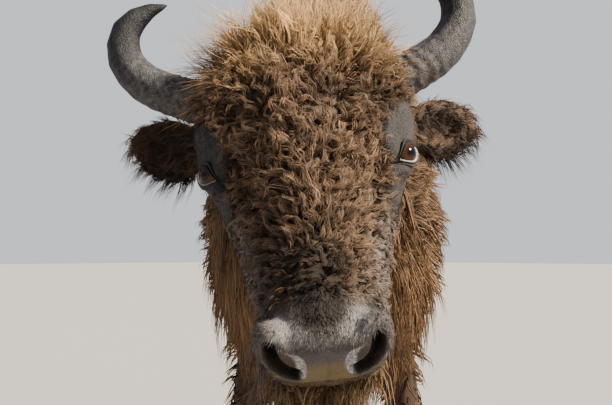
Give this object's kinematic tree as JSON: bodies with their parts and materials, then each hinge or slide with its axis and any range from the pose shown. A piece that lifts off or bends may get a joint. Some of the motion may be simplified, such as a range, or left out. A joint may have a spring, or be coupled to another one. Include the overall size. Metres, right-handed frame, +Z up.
{
  "type": "european bison",
  "caption": "Adult European bison bull standing still on four legs, high humped shoulders, head lowered and tilted, short curved horns, shaggy brown coat and beard.",
  "frame": {"origin": "on the floor, under the centre of the whole model's box", "axes": "+Z up, +X to the animal's left, +Y from its head towards its tail, so that it faces -Y"},
  "size_m": [0.688, 2.6366, 1.8151],
  "materials": {
    "coat": "shaggy, dry hair",
    "skin": "bare skin, moist at the nose",
    "horn": "rough grey keratin",
    "hoof": "worn dark keratin",
    "eye": "wet and glossy"
  },
  "bodies": {
    "root": {"barrel": "coat", "beard": "coat", "ear_left": "coat", "ear_right": "coat", "eye_left": "eye", "eye_right": "eye", "foredewclaw_left_inner": "hoof", "foredewclaw_left_outer": "hoof", "foredewclaw_right_inner": "hoof", "foredewclaw_right_outer": "hoof", "forehoof_left_inner": "hoof", "forehoof_left_outer": "hoof", "forehoof_right_inner": "hoof", "forehoof_right_outer": "hoof", "foreleg_left_lower": "coat", "foreleg_left_upper": "coat", "foreleg_right_lower": "coat", "foreleg_right_upper": "coat", "forequarters": "coat", "head": "coat", "hinddewclaw_left_inner": "hoof", "hinddewclaw_left_outer": "hoof", "hinddewclaw_right_inner": "hoof", "hinddewclaw_right_outer": "hoof", "hindhoof_left_inner": "hoof", "hindhoof_left_outer": "hoof", "hindhoof_right_inner": "hoof", "hindhoof_right_outer": "hoof", "hindleg_left_lower": "coat", "hindleg_left_upper": "coat", "hindleg_right_lower": "coat", "hindleg_right_upper": "coat", "hindquarters": "coat", "horn_left": "horn", "horn_right": "horn", "lower_jaw": "coat", "muzzle": "skin", "neck": "coat", "tail_dock": "coat", "tail_tuft": "coat"}
  },
  "joints": []
}
